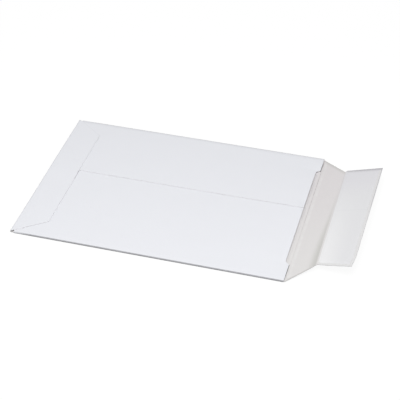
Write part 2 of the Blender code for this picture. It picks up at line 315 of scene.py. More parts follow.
# the release liner's paper
LINER_WHITE = (0.800, 0.800, 0.815, 1.0)
LINER_WHITE_SHADE = (0.780, 0.780, 0.797, 1.0)
LINER_CLOUD = 0.018
LINER_FIBRE = 0.0012
LINER_PAINTED_LIGHT = (0.870, 0.870, 0.878, 1.0)
LINER_NEAR_FULL = FLAP_CREASE.x + 0.004
LINER_NEAR_END = FLAP_CREASE.x + 0.032
LINER_FAR = (0.765, 0.758, 0.790, 1.0)
LINER_FAR_START = 0.0300
LINER_END_START = RECESS_HALF - 0.0010
LINER_END_SHARE = 0.35
LINER_MARK_Y = 0.0105
LINER_MARK_WIDTH = 0.0006
LINER_MARK_SHADE = (0.72, 0.72, 0.74, 1.0)
LINER_MARK_SHARE = 0.5
LINER_RELIEF_SHARES = (0.5, 0.2, 0.3)
LINER_ROUGHNESS = 0.36
LINER_FIBRE_ROUGHNESS = 0.08
LINER_BUMP = 0.15
LINER_RELIEF = 0.00008

# the self-seal strip's gum
GUM = (0.88, 0.86, 0.78, 1.0)
GUM_SHADE = (0.83, 0.80, 0.69, 1.0)
GUM_CLOUD = 0.008
GUM_RIB = 0.0012
GUM_RIB_STRETCH = (1.0, 0.05, 1.0)
GUM_ROUGHNESS = 0.22
GUM_BUMP = 0.3
GUM_RELIEF = 0.00005


def ease(share):
    """Ease from 0 to 1."""
    share = min(max(share, 0.0), 1.0)
    return share * share * (3.0 - 2.0 * share)


def spread(start, end, step):
    """Evenly spaced values strictly between start and end, about a step apart."""
    count = max(1, round((end - start) / step))
    return [start + (end - start) * i / count for i in range(1, count)]


def near(value, place):
    """Whether a coordinate lies at a place."""
    return abs(value - place) < SAME_PLACE


def near_plane(point, place, normal):
    """Whether a point lies on the plane through a place."""
    return abs((point - place).dot(normal)) < CREASE_STATION / 2


def start_sheet(name, start_x, end_x, half_width, height):
    """A flat sheet at its size and place, left open for editing."""
    bpy.ops.object.select_all(action="DESELECT")
    bpy.ops.mesh.primitive_plane_add(size=1.0)
    sheet = bpy.context.object
    sheet.name = name
    sheet.data.name = name
    bpy.ops.object.mode_set(mode="EDIT")
    bpy.ops.mesh.select_mode(type="EDGE")
    bpy.ops.mesh.select_all(action="SELECT")
    bpy.ops.transform.resize(value=(end_x - start_x, 2 * half_width, 1.0))
    bpy.ops.transform.translate(value=((start_x + end_x) / 2, 0.0, height))
    return sheet


def pick(test):
    """Select the free edges whose middle passes a test."""
    bpy.ops.mesh.select_all(action="DESELECT")
    data = bpy.context.object.data
    mesh = bmesh.from_edit_mesh(data)
    for edge in mesh.edges:
        if edge.is_boundary and test((edge.verts[0].co + edge.verts[1].co) / 2):
            edge.select_set(True)
    bmesh.update_edit_mesh(data)


def extrude(x, y, z):
    """Draw the selected edges out into new board."""
    bpy.ops.mesh.extrude_region_move(TRANSFORM_OT_translate={"value": (x, y, z)})


def cut(place, normal, clear=False):
    """Cut the whole sheet along a plane; clear removes what lies on the normal's side."""
    bpy.ops.mesh.select_all(action="SELECT")
    bpy.ops.mesh.bisect(plane_co=place, plane_no=normal, clear_outer=clear, threshold=SAME_PLACE)


def trim(start, end, inset=0.0):
    """Trim a flat sheet along the line from start to end, whose waste lies to its left."""
    along = Vector((end[0] - start[0], end[1] - start[1], 0.0)).normalized()
    waste = Vector((-along.y, along.x, 0.0))
    cut(Vector((start[0], start[1], 0.0)) - waste * inset, waste, clear=True)


def set_end_half(x, half):
    """Set half the width that a sheet has at a place along it."""
    data = bpy.context.object.data
    mesh = bmesh.from_edit_mesh(data)
    for vert in mesh.verts:
        if near(vert.co.x, x):
            vert.co.y = math.copysign(half, vert.co.y)
    bmesh.update_edit_mesh(data)


def score(x_places, y_places):
    """Cut stations into a sheet, where it will bend."""
    for x in x_places:
        cut((x, 0.0, 0.0), (1.0, 0.0, 0.0))
    for y in y_places:
        cut((0.0, y, 0.0), (0.0, 1.0, 0.0))


def close_sheet(sheet, shape):
    """Leave edit mode with the outside facing down, and move each vertex as shape says."""
    bpy.ops.mesh.select_all(action="SELECT")
    bpy.ops.mesh.remove_doubles(threshold=SAME_PLACE)
    bpy.ops.mesh.normals_make_consistent(inside=False)
    lowest = min(bmesh.from_edit_mesh(sheet.data).faces, key=lambda face: face.calc_center_median().z)
    if lowest.normal.z > 0.0:
        bpy.ops.mesh.flip_normals()
    bpy.ops.object.mode_set(mode="OBJECT")
    for vert in sheet.data.vertices:
        vert.co = shape(vert.co.copy())


def apply_modifier(piece, modifier):
    """Apply a modifier of a piece."""
    bpy.context.view_layer.objects.active = piece
    bpy.ops.object.modifier_apply(modifier=modifier.name)


def thicken(sheet, thickness, finishes):
    """Give a sheet its thickness, with its outside, inside and cut edges each in their own finish."""
    for finish in finishes:
        sheet.data.materials.append(finish)
    wall = sheet.modifiers.new("wall", "SOLIDIFY")
    wall.thickness = thickness
    wall.offset = 0.0
    wall.use_even_offset = True
    wall.material_offset = min(1, len(finishes) - 1)
    wall.material_offset_rim = len(finishes) - 1
    apply_modifier(sheet, wall)


def soften(piece, keep_sharp):
    """Take the sharpness off the cut edges, apart from those whose middle passes keep_sharp."""
    bpy.ops.object.mode_set(mode="EDIT")
    bpy.ops.mesh.select_all(action="DESELECT")
    bpy.ops.mesh.edges_select_sharp(sharpness=CUT_EDGE_ANGLE)
    mesh = bmesh.from_edit_mesh(piece.data)
    spared = [
        edge for edge in mesh.edges
        if edge.select and keep_sharp((edge.verts[0].co + edge.verts[1].co) / 2)
    ]
    for edge in spared:
        edge.select_set(False)
    bmesh.update_edit_mesh(piece.data)
    bpy.ops.mesh.bevel(offset=EDGE_SOFTENING, segments=1, affect="EDGES")
    bpy.ops.object.mode_set(mode="OBJECT")


def smooth(piece):
    """Shade a piece smooth over its bends and crisp at its edges."""
    bpy.ops.object.select_all(action="DESELECT")
    piece.select_set(True)
    bpy.context.view_layer.objects.active = piece
    bpy.ops.object.shade_smooth_by_angle(angle=SMOOTH_ANGLE)


def gape(x, y):
    """Lift of the back panels, which bow off the front towards the mouth."""
    along = ease(1.0 - (MOUTH_CREASE.x - x) / GAPE_LENGTH)
    across = 1.0 - min(abs(y) / GAPE_HALF, 1.0) ** GAPE_FLATNESS
    return MOUTH_GAPE * along * across


def corner_sag(x, y):
    """Sag of the back panels at the recess's corners."""
    along = ease(1.0 - (MOUTH_CREASE.x - x) / RECESS_SAG_LENGTH)
    off_corner = abs(y - RECESS_ASIDE) - RECESS_HALF - RECESS_FLARE / 2
    return RECESS_CORNER_SAG * along * math.exp(-((off_corner / RECESS_SAG_WIDTH) ** 2))


def waver(x, y):
    """Slight unevenness of a free panel, none at the folds."""
    inward = ease((SIDE_FOLD - abs(y)) / WAVER_INSET) * ease((x - BOTTOM_FOLD) / WAVER_INSET)
    return PANEL_WAVER * inward * noise.noise(Vector((x, y, 0.0)) / WAVER_LENGTH)


def bottom_flap_z(y):
    """Middle of the bottom flap, which drapes over the step of the seam."""
    climb = min((SIDE_FOLD - y) / (SIDE_FOLD - SEAM_Y - SEAM_LAP), 1.0)
    if y >= SEAM_Y:
        return BACK_Z + LAP_RISE * (1.0 + climb)
    return BACK_Z + LAP_RISE * (1.0 + ease(1.0 - (SEAM_Y - y) / BOTTOM_DRAPE))


def ramp_area(share):
    """Area under a ramp that climbs from 0 to 1."""
    inside = min(max(share, 0.0), 1.0)
    return inside * inside / 2 + max(share - 1.0, 0.0)


def mouth_edge_x(y):
    """The back panels' mouth edge, drawn back in a recess whose steps flare and have round corners."""
    share = (abs(y - RECESS_ASIDE) - RECESS_HALF) / RECESS_FLARE
    step = ramp_area(share + RECESS_ROUNDING) - ramp_area(share - RECESS_ROUNDING)
    recess_x = MOUTH_CREASE.x - RECESS_DEPTH
    return recess_x + (RECESS_DEPTH - BACK_SETBACK) * step / (2 * RECESS_ROUNDING)


def flap_bead(distance, y):
    """Ridge of the closing flap's crease, higher at the near end; distance is below 0 on the band."""
    share = ease(0.5 - y / (2 * RECESS_HALF))
    height = FLAP_BEAD_FAR + (FLAP_BEAD_NEAR - FLAP_BEAD_FAR) * share
    width = FLAP_BEAD_FLAP_SIDE if distance > 0.0 else FLAP_BEAD_BAND_SIDE
    return height * math.exp(-((distance / width) ** 2))


def shape_pocket(point):
    """Carry a vertex of the flat-sided pocket and band to its true place."""
    x, y, z = point
    mouth_x = MOUTH_CREASE.x - BACK_SETBACK
    over_back = x < BOTTOM_FLAP_X + SAME_PLACE and z > UNDER_FLAP_Z
    on_back = x < mouth_x + SAME_PLACE and z > BACK_Z - SAME_PLACE and abs(y) < SIDE_FOLD + SAME_PLACE
    if over_back or x < BOTTOM_FOLD - SAME_PLACE:
        fullness = (bottom_flap_z(y) - FRONT_Z) / (2 * BOTTOM_RADIUS)
        z = FRONT_Z + (z - FRONT_Z) * fullness
        if z > BACK_Z:
            z += waver(x, y)
    elif on_back:
        z += gape(x, y) + waver(x, y) - corner_sag(x, y)
        drawn_from = mouth_x - RECESS_DRAW
        share = max((x - drawn_from) / (mouth_x - drawn_from), 0.0)
        x += share * (mouth_edge_x(y) - mouth_x)
    else:
        distance = (x - FLAP_CREASE.x) * math.cos(BAND_RAISE) + (z - FLAP_CREASE.z) * math.sin(BAND_RAISE)
        z += MOUTH_BEAD_HEIGHT * math.exp(-(((x - MOUTH_CREASE.x) / MOUTH_BEAD_WIDTH) ** 2))
        if x > MOUTH_CREASE.x:
            z += flap_bead(distance, y)
    return Vector((x, y, z))


def band_half(distance):
    """Half the band's width at a distance from the mouth fold."""
    return SIDE_FOLD - BAND_TAPER * distance / BAND_DEPTH


def fold_back_panels(start, end):
    """Fold the back panels up round the side folds, and lap the far one over the near one."""
    lap_y = SEAM_Y + SEAM_LAP
    for side, reach, rise in ((1.0, SIDE_FOLD - lap_y, LAP_RISE), (-1.0, SIDE_FOLD + lap_y, 0.0)):
        pick(lambda p: near(p.y, side * SIDE_FOLD) and start < p.x < end)
        centre = (0.0, side * SIDE_FOLD, FRONT_Z + SIDE_RADIUS)
        bpy.ops.mesh.spin(steps=FOLD_STEPS, angle=math.pi, center=centre, axis=(-side, 0.0, 0.0))
        extrude(0.0, -side * reach, rise)
        if rise > 0.0:
            extrude(0.0, -SEAM_LAP, 0.0)


def fold_bottom_flap():
    """Fold the bottom flap over the back panels."""
    pick(lambda p: near(p.x, BOTTOM_FOLD))
    centre = (BOTTOM_FOLD, 0.0, FRONT_Z + BOTTOM_RADIUS)
    bpy.ops.mesh.spin(steps=FOLD_STEPS, angle=math.pi, center=centre, axis=(0.0, -1.0, 0.0))
    extrude(BOTTOM_FLAP_X - BOTTOM_FOLD, 0.0, 0.0)
    bpy.ops.transform.resize(value=(1.0, BOTTOM_TIP_HALF / SIDE_FOLD, 1.0))


def draw_band():
    """Draw the band out past the mouth fold."""
    pick(lambda p: near(p.x, MOUTH_CREASE.x))
    drawn = BAND_DEPTH - BOARD_JOIN
    run = drawn * math.cos(BAND_RAISE) + BOARD / 2 * math.sin(BAND_RAISE)
    rise = drawn * math.sin(BAND_RAISE) + BOARD / 2 * (1.0 - math.cos(BAND_RAISE))
    extrude(run, 0.0, rise)
    bpy.ops.transform.resize(value=(1.0, band_half(drawn) / SIDE_FOLD, 1.0))


def score_pocket():
    """Cut stations into the pocket and the band, closest where they bend."""
    recess_y = RECESS_HALF + RECESS_FLARE / 2
    recess_x = MOUTH_CREASE.x - RECESS_DEPTH
    bead = BEAD_WIDTHS * MOUTH_BEAD_WIDTH
    bend = FLAP_CREASE.x - BEAD_WIDTHS * FLAP_BEAD_BAND_SIDE
    x_places = spread(BOTTOM_FOLD, recess_x, STATION)
    x_places += spread(recess_x, MOUTH_CREASE.x - bead, BEND_STATION)
    x_places += spread(MOUTH_CREASE.x - bead, MOUTH_CREASE.x - BLEND_REACH, EDGE_STATION)
    x_places += spread(MOUTH_CREASE.x - BLEND_REACH, MOUTH_CREASE.x + BLEND_REACH, CREASE_STATION)
    x_places += spread(MOUTH_CREASE.x + BLEND_REACH, MOUTH_CREASE.x + bead, EDGE_STATION)
    x_places += spread(MOUTH_CREASE.x + bead, bend, STATION / 2)
    x_places += spread(bend, FLAP_CREASE.x - BOARD_JOIN, EDGE_STATION)
    y_places = spread(-SIDE_FOLD, SIDE_FOLD, STATION)
    steps = range(-RECESS_STATIONS, RECESS_STATIONS + 1)
    for side in (-1.0, 1.0):
        y_places += [RECESS_ASIDE + side * (recess_y + RECESS_STATION * step) for step in steps]
    y_places += [SEAM_Y - off_seam for off_seam in SEAM_STATIONS]
    score(x_places, y_places)


def model_pocket():
    """Fold the blank's panels up round the pocket, and draw the band out past the mouth."""
    sheet = start_sheet("envelope_board", BOTTOM_FOLD, MOUTH_CREASE.x, SIDE_FOLD, FRONT_Z)
    back_start = BOTTOM_FOLD + CORNER_RELIEF
    back_end = MOUTH_CREASE.x - BACK_SETBACK
    cut((back_start, 0.0, 0.0), (1.0, 0.0, 0.0))
    cut((back_end, 0.0, 0.0), (1.0, 0.0, 0.0))
    fold_back_panels(back_start, back_end)
    fold_bottom_flap()
    draw_band()
    score_pocket()
    close_sheet(sheet, shape_pocket)
    return sheet


def flap_half(distance):
    """Half the closing flap's width at a distance from its crease."""
    return BAND_END_HALF + FLAP_SHOULDER + FLAP_FLARE * distance / FLAP_DEPTH


def flap_aside(distance):
    """How far the closing flap's middle lies to the far side at a distance from its crease."""
    return FLAP_ROOT_ASIDE * (1.0 - distance / FLAP_DEPTH)


def flap_end(y):
    """Distance from the crease to the closing flap's free edge, which is a little out of square."""
    return FLAP_DEPTH + FLAP_OUT_OF_SQUARE * y / flap_half(FLAP_DEPTH)


def flap_roots():
    """The far and near corners of the closing flap beside its crease."""
    half, aside = flap_half(FLAP_SHOULDER_RUN), flap_aside(FLAP_SHOULDER_RUN)
    return (FLAP_SHOULDER_RUN, aside + half), (FLAP_SHOULDER_RUN, aside - half)


def flap_sides():
    """The closing flap's far end, free edge, clipped corner and near end, with the waste on their left."""
    tip_half = flap_half(FLAP_DEPTH)
    clip_y = FLAP_CLIP_ALONG - tip_half
    far_root, painted_light_near_root = flap_roots()
    far_tip = (flap_end(tip_half), tip_half)
    clip_head = (flap_end(clip_y), clip_y)
    clip_foot = (flap_end(-tip_half) - FLAP_CLIP_DEPTH, -tip_half)
    return [(far_root, far_tip), (far_tip, clip_head), (clip_head, clip_foot), (clip_foot, painted_light_near_root)]


def side_distance(x, y, inset):
    """How far a point of the closing flap lies inside its sides, less an inset."""
    distances = []
    for start, end in flap_sides():
        along = Vector((end[0] - start[0], end[1] - start[1])).normalized()
        distances.append(along.y * (x - start[0]) - along.x * (y - start[1]) - inset)
    return min(distances)


def place_on_flap(point):
    """Carry a point of the flat closing flap to its place; its height is over the board's inner face."""
    distance, y, height = point
    angle = FLAP_RAISE if distance > 0.0 else BAND_RAISE
    lean = Vector((math.cos(angle), 0.0, math.sin(angle)))
    up = Vector((-math.sin(angle), 0.0, math.cos(angle)))
    place = FLAP_CREASE + lean * distance + up * height
    place.y = y
    place.z += flap_bead(distance, y)
    return place


def round_corners(radius):
    """Round the corners of a flat sheet."""
    bpy.ops.mesh.select_mode(type="VERT")
    bpy.ops.mesh.select_all(action="SELECT")
    bpy.ops.mesh.bevel(offset=radius, segments=CORNER_STEPS, affect="VERTICES")
    bpy.ops.mesh.select_mode(type="EDGE")


def model_closing_flap():
    """Trim the closing flap, and run it back over its crease to meet the band."""
    half = SPARE_ACROSS * flap_half(FLAP_DEPTH)
    sheet = start_sheet("closing_flap_board", 0.0, SPARE_ALONG * FLAP_DEPTH, half, -BOARD / 2)
    for start, end in flap_sides():
        trim(start, end)
    cut((FLAP_SHOULDER_RUN, 0.0, 0.0), (1.0, 0.0, 0.0))
    set_end_half(0.0, BAND_END_HALF)
    pick(lambda p: near(p.x, 0.0))
    extrude(-BOARD_JOIN, 0.0, 0.0)
    set_end_half(-BOARD_JOIN, band_half(BAND_DEPTH - BOARD_JOIN))
    x_places = spread(-BOARD_JOIN, BLEND_REACH, CREASE_STATION)
    x_places += spread(BLEND_REACH, FLAP_BEND, BEND_STATION)
    x_places += spread(FLAP_BEND, FLAP_DEPTH, STATION)
    score(x_places, spread(-flap_half(0.0), flap_half(0.0), STATION))
    close_sheet(sheet, place_on_flap)
    return sheet


def model_strip():
    """The self-seal strip, pressed on the closing flap."""
    start = LINER_CREASE_MARGIN + STRIP_INSET
    half = flap_half(0.0) - LINER_EDGE_MARGIN - STRIP_INSET
    end = flap_end(-half) - LINER_EDGE_MARGIN - STRIP_INSET - FLAP_CLIP_DEPTH
    sheet = start_sheet("self_seal_strip", start, end, half, STRIP_HEIGHT)
    round_corners(CORNER_RADIUS)
    score(spread(start, end, BEND_STATION), spread(-half, half, STATION))
    close_sheet(sheet, place_on_flap)
    return sheet


def shape_liner(point):
    """The liner lies on the strip and comes down to the board round its edge."""
    x, y, height = point
    inward = min(side_distance(x, y, LINER_EDGE_MARGIN), x - LINER_CREASE_MARGIN)
    lifted = ease((inward - LINER_REST) / (STRIP_INSET - LINER_REST))
    return place_on_flap((x, y, LINER_LOW + (height - LINER_LOW) * lifted))


def model_liner():
    """The release liner over the strip."""
    half = SPARE_ACROSS * flap_half(FLAP_DEPTH)
    end = SPARE_ALONG * FLAP_DEPTH
    sheet = start_sheet("release_liner_sheet", LINER_CREASE_MARGIN, end, half, LINER_HEIGHT)
    for side_start, side_end in flap_sides():
        trim(side_start, side_end, LINER_EDGE_MARGIN)
    round_corners(CORNER_RADIUS)
    free_x = FLAP_DEPTH - LINER_EDGE_MARGIN
    free_slope = free_x - LINER_FREE_SLOPE
    end_y = flap_half(0.0) - LINER_EDGE_MARGIN
    x_places = spread(LINER_CREASE_MARGIN, LINER_CREASE_MARGIN + LINER_SLOPE, EDGE_STATION)
    x_places += spread(LINER_CREASE_MARGIN + LINER_SLOPE, free_slope, BEND_STATION)
    x_places += spread(free_slope, free_x + LINER_FREE_SPARE, EDGE_STATION)
    y_places = spread(LINER_SLOPE - end_y, end_y - LINER_SLOPE, STATION)
    for side in (-1.0, 1.0):
        y_places += [side * y for y in spread(end_y - LINER_SLOPE, end_y + FLAP_FLARE, EDGE_STATION)]
    score(x_places, y_places)
    close_sheet(sheet, shape_liner)
    return sheet


class Value:
    """An output of a shader node, which sums and products use as they would a number."""

    def __init__(self, finish, socket):
        self.finish = finish
        self.socket = socket

    def maths(self, operation, *values):
        """Put values through one operation."""
        return self.finish.add("ShaderNodeMath", {"operation": operation}, dict(enumerate(values)))

    def __add__(self, other):
        return self.maths("ADD", self, other)

    def __sub__(self, other):
        return self.maths("SUBTRACT", self, other)

    def __rsub__(self, other):
        return self.maths("SUBTRACT", other, self)

    def __mul__(self, other):
        return self.maths("MULTIPLY", self, other)

    def __truediv__(self, other):
        return self.maths("DIVIDE", self, other)

    def __abs__(self):
        return self.maths("ABSOLUTE", self)

    __radd__ = __add__
    __rmul__ = __mul__


class Finish:
    """The finish of one surface, built up from shader nodes."""

    def __init__(self, name):
        self.material = bpy.data.materials.new(name)
        self.material.use_nodes = True
        self.tree = self.material.node_tree
        self.shader = self.tree.nodes["Principled BSDF"]

    def feed(self, socket, value):
        """Link a node's output to a socket, or set the socket's own value."""
        if isinstance(value, Value):
            self.tree.links.new(value.socket, socket)
        else:
            socket.default_value = value

    def add(self, kind, settings, sockets, output=0):
        """Add a node with its settings, then the values or links of its sockets."""
        node = self.tree.nodes.new(kind)
        for name, value in settings.items():
            setattr(node, name, value)
        for key, value in sockets.items():
            self.feed(node.inputs[key], value)
        return Value(self, node.outputs[output])

    def place(self, stretch=(1.0, 1.0, 1.0)):
        """Where a point lies on the piece, in metres, with a stretch along each axis."""
        point = self.add("ShaderNodeTexCoord", {}, {}, "Object")
        return self.add("ShaderNodeMapping", {}, {"Vector": point, "Scale": stretch})

    def axis(self, name):
        """One coordinate of the point."""
        return self.add("ShaderNodeSeparateXYZ", {}, {0: self.place()}, name)

    def cloud(self, size, detail=PLAIN_DETAIL, stretch=(1.0, 1.0, 1.0)):
        """Soft noise from 0 to 1, whose patches are about a size across."""
        sockets = {"Vector": self.place(stretch), "Scale": 1.0 / size, "Detail": detail}
        return self.add("ShaderNodeTexNoise", {}, sockets)

    def band(self, value, low, high):
        """Rise smoothly from 0 to 1 as a value goes from low to high."""
        sockets = {"Value": value, "From Min": low, "From Max": high}
        return self.add("ShaderNodeMapRange", {"interpolation_type": "SMOOTHSTEP"}, sockets)

    def line(self, value, place, width):
        """1 on a line where a value is at a place, and 0 from a width away."""
        return 1.0 - self.band(abs(value - place), 0.0, width)

    def blend(self, share, first, second):
        """Mix two colours."""
        sockets = {0: share, MIX_FIRST: first, MIX_SECOND: second}
        return self.add("ShaderNodeMix", {"data_type": "RGBA"}, sockets, MIX_RESULT)

    def bump(self, height, strength, distance):
        """Surface relief from a height of 0 to 1."""
        return self.add("ShaderNodeBump", {}, {"Height": height, "Strength": strength, "Distance": distance})

    def finish(self, **sockets):
        """Feed the shader, whose sockets are given by name with _ for a space."""
        for name, value in sockets.items():
            self.feed(self.shader.inputs[name.replace("_", " ")], value)
        return self.material


def mix_shares(first, second, share):
    """Add two values up, the first by its share and the second by the rest."""
    return first * share + second * (1.0 - share)


def toward_near_end(f):
    """1 at the near end of the mouth, falling to 0 at its far end."""
    return 1.0 - f.band(f.axis("Y"), -RECESS_HALF, RECESS_HALF)


def painted_fold_shade_and_wear(f):
    """Painted shade along the side folds and the bottom fold, which are also worn matt there, less of it
    near the corners.
    """
    side = f.band(abs(f.axis("Y")), SIDE_FOLD - SIDE_RADIUS / 2, SIDE_FOLD + SIDE_RADIUS / 2)
    bottom = f.band(0.0 - f.axis("X"), -BOTTOM_FOLD, HALF_LENGTH)
    off_corner = f.band(f.axis("X"), BOTTOM_FOLD, BOTTOM_FOLD + FOLD_SHADE_AND_WEAR_FROM_CORNER)
    from_corner = FOLD_SHADE_AND_WEAR_AT_CORNER + (1.0 - FOLD_SHADE_AND_WEAR_AT_CORNER) * off_corner
    patchy = FOLD_SHADE_AND_WEAR_LEAST + (1.0 - FOLD_SHADE_AND_WEAR_LEAST) * f.cloud(FOLD_SHADE_AND_WEAR_PATCH, SOFT_DETAIL)
    return (side * from_corner + bottom * FOLD_SHADE_AND_WEAR_AT_BOTTOM) * patchy


def shade_laps(f, colour):
    """Shade the back beside the seam and the bottom flap's sides and free edge, and by the far side fold."""
    on_back = f.band(f.axis("Z"), BACK_Z / 2, BACK_Z - BOARD)
    past_flap = f.band(f.axis("X"), BOTTOM_FLAP_X, BOTTOM_FLAP_X + BOARD)
    seam = f.line(f.axis("Y"), SEAM_Y - LAP_SHADE_WIDTH / 2, LAP_SHADE_WIDTH) * past_flap
    slope = (SIDE_FOLD - BOTTOM_TIP_HALF) / (BOTTOM_FLAP_X - BOTTOM_FOLD)
    outward = abs(f.axis("Y")) + (f.axis("X") - BOTTOM_FOLD) * slope
    flap_side = f.line(outward, SIDE_FOLD + LAP_SHADE_WIDTH / 2, LAP_SHADE_WIDTH) * (1.0 - past_flap)
    between = 1.0 - f.band(abs(f.axis("Y")), BOTTOM_TIP_HALF, BOTTOM_TIP_HALF + LAP_SHADE_WIDTH)
    flap_edge = f.line(f.axis("X"), BOTTOM_FLAP_X + LAP_SHADE_WIDTH / 2, LAP_SHADE_WIDTH) * between
    sheltered = (seam + flap_side + flap_edge * FLAP_EDGE_SHARE) * on_back
    colour = f.blend(sheltered * LAP_SHADE_SHARE, colour, LAP_SHADE)
    far_side = f.band(f.axis("Y"), SIDE_FOLD - FAR_SIDE_WIDTH, SIDE_FOLD)
    return f.blend(far_side * on_back * FAR_SIDE_SHARE, colour, FOLD_SHADE)


def coated_board():
    """The board's outside: smooth white coating, a little cloudy, with painted shade along the folds, where
    it is worn matt, and beside the laps.
    """
    f = Finish("coated_board")
    cloud = f.cloud(COATING_CLOUD, SOFT_DETAIL)
    fibre = f.cloud(COATING_FIBRE, FINE_DETAIL, FIBRE_STRETCH)
    fold_shade_and_wear = painted_fold_shade_and_wear(f)
    colour = f.blend(mix_shares(cloud, fibre, COATING_CLOUD_SHARE), BOARD_WHITE, BOARD_WHITE_SHADE)
    colour = shade_laps(f, colour)
    # painted shade along the side folds and the bottom fold
    colour = f.blend(fold_shade_and_wear, colour, FOLD_SHADE)
    relief = mix_shares(fibre, f.cloud(COATING_GRAIN), COATING_GRAIN_SHARE)
    return f.finish(
        Base_Color=colour,
        Roughness=COATING_ROUGHNESS + FIBRE_ROUGHNESS * fibre + WEAR_ROUGHNESS * fold_shade_and_wear,
        Normal=f.bump(relief, COATING_BUMP, COATING_RELIEF),
    )


def mark_mouth_fold(f, colour, near_end):
    """Paint shade into the mouth fold's crease line, its two ends and the board under the mouth edge, and a
    highlight along its ridge.
    """
    broken = f.band(f.cloud(BREAK_SIZE, PLAIN_DETAIL, BREAK_STRETCH), BREAK_START, BREAK_END)
    # painted shade in the mouth fold's crease line, broken along its length
    crease = f.line(f.axis("X"), MOUTH_CREASE.x, CREASE_LINE_WIDTH) * (1.0 - near_end * CREASE_NEAR_FADE)
    colour = f.blend(crease * (CREASE_LEAST + (1.0 - CREASE_LEAST) * broken), colour, CREASE_SHADE)

    off_middle = abs(f.axis("Y") - RECESS_ASIDE)
    crease_end = f.band(off_middle, RECESS_HALF + RECESS_FLARE / 2, RECESS_HALF + RECESS_FLARE)
    # painted shade, near black, in the crease at the mouth's two ends, fading towards the side folds
    outermost = f.band(abs(f.axis("Y")), HOLLOW_FADE_START, HOLLOW_FADE_END)
    hollow_shade = f.line(f.axis("X"), MOUTH_CREASE.x - BACK_SETBACK, HOLLOW_WIDTH) * crease_end
    colour = f.blend(hollow_shade * (1.0 - HOLLOW_FADE * outermost), colour, HOLLOW_SHADE)

    under_edge = f.line(f.axis("X"), SHELTERED_X, SHELTERED_WIDTH) * (1.0 - crease_end)
    share = SHELTERED_SHARE_FAR - (SHELTERED_SHARE_FAR - SHELTERED_SHARE_NEAR) * near_end
    colour = f.blend(under_edge * share, colour, SHELTERED_SHADE)

    # painted highlight on the band just past the mouth fold
    ridge_highlight = f.line(f.axis("X"), RIDGE_X, RIDGE_WIDTH)
    return f.blend(ridge_highlight * (RIDGE_SHARE + RIDGE_BREAK_SHARE * broken), colour, RIDGE_HIGHLIGHT)


def mark_band(f, colour, near_end):
    """Darken the band with painted shade beside the closing flap's crease, and darken it along its two ends.
    """
    on_band = 1.0 - f.band(f.axis("X") + near_end * BAND_SHIFT_NEAR, BAND_FADE, BAND_END)
    # painted shade on the band beside the closing flap's crease, widest and deepest at the near end
    reach = FLAP_CREASE_SHADE_REACH_FAR + (FLAP_CREASE_SHADE_REACH_NEAR - FLAP_CREASE_SHADE_REACH_FAR) * near_end * near_end
    painted_crease_shade = 1.0 - f.band((BAND_FADE - f.axis("X")) / reach, 0.0, 1.0)
    colour = f.blend(painted_crease_shade * on_band * near_end * FLAP_CREASE_SHADE_SHARE, colour, BAND_DARKENING)

    # darker along the band's two ends, wider at the far end
    taper = BAND_TAPER / (FLAP_CREASE.x - MOUTH_CREASE.x)
    outward = abs(f.axis("Y")) + (f.axis("X") - MOUTH_CREASE.x) * taper
    width = BAND_ENDS_WIDTH_FAR - (BAND_ENDS_WIDTH_FAR - BAND_ENDS_WIDTH_NEAR) * near_end
    darker_ends = 1.0 - f.band((SIDE_FOLD - outward) / width, 0.0, 1.0)
    past_fold = f.band(f.axis("X"), MOUTH_CREASE.x, MOUTH_CREASE.x + BAND_ENDS_FROM_FOLD)
    return f.blend(darker_ends * past_fold * on_band * BAND_ENDS_SHARE, colour, BAND_DARKENING)


def mark_flap(f, colour, near_end):
    """Shade the closing flap's root, far end and free edge, and take the warmth out of its face."""
    flap_root = f.line(f.axis("X"), FLAP_ROOT_X, FLAP_ROOT_WIDTH) * (1.0 - near_end)
    colour = f.blend(flap_root * FLAP_ROOT_SHARE, colour, SHELTERED_SHADE)
    on_flap = f.band(f.axis("X"), FLAP_FACE_START, FLAP_FACE_FULL)
    colour = f.blend(on_flap * FLAP_NEUTRAL_SHARE, colour, FLAP_NEUTRAL)
    far_end = f.band(f.axis("Y"), FAR_END_START, FAR_END_FULL)
    colour = f.blend(far_end * on_flap, colour, FAR_END_SHADE)

    free_x = FLAP_CREASE.x + FLAP_DEPTH * math.cos(FLAP_RAISE)
    askew = f.axis("X") - f.axis("Y") * (FLAP_OUT_OF_SQUARE / flap_half(FLAP_DEPTH))
    far_half = f.band(f.axis("Y"), FREE_EDGE_FROM_Y, FREE_EDGE_FULL_Y)
    free_edge = f.band(askew, free_x - FREE_EDGE_START, free_x - FREE_EDGE_FULL) * far_half
    return f.blend(free_edge * FREE_EDGE_SHARE, colour, FAR_END_SHADE)


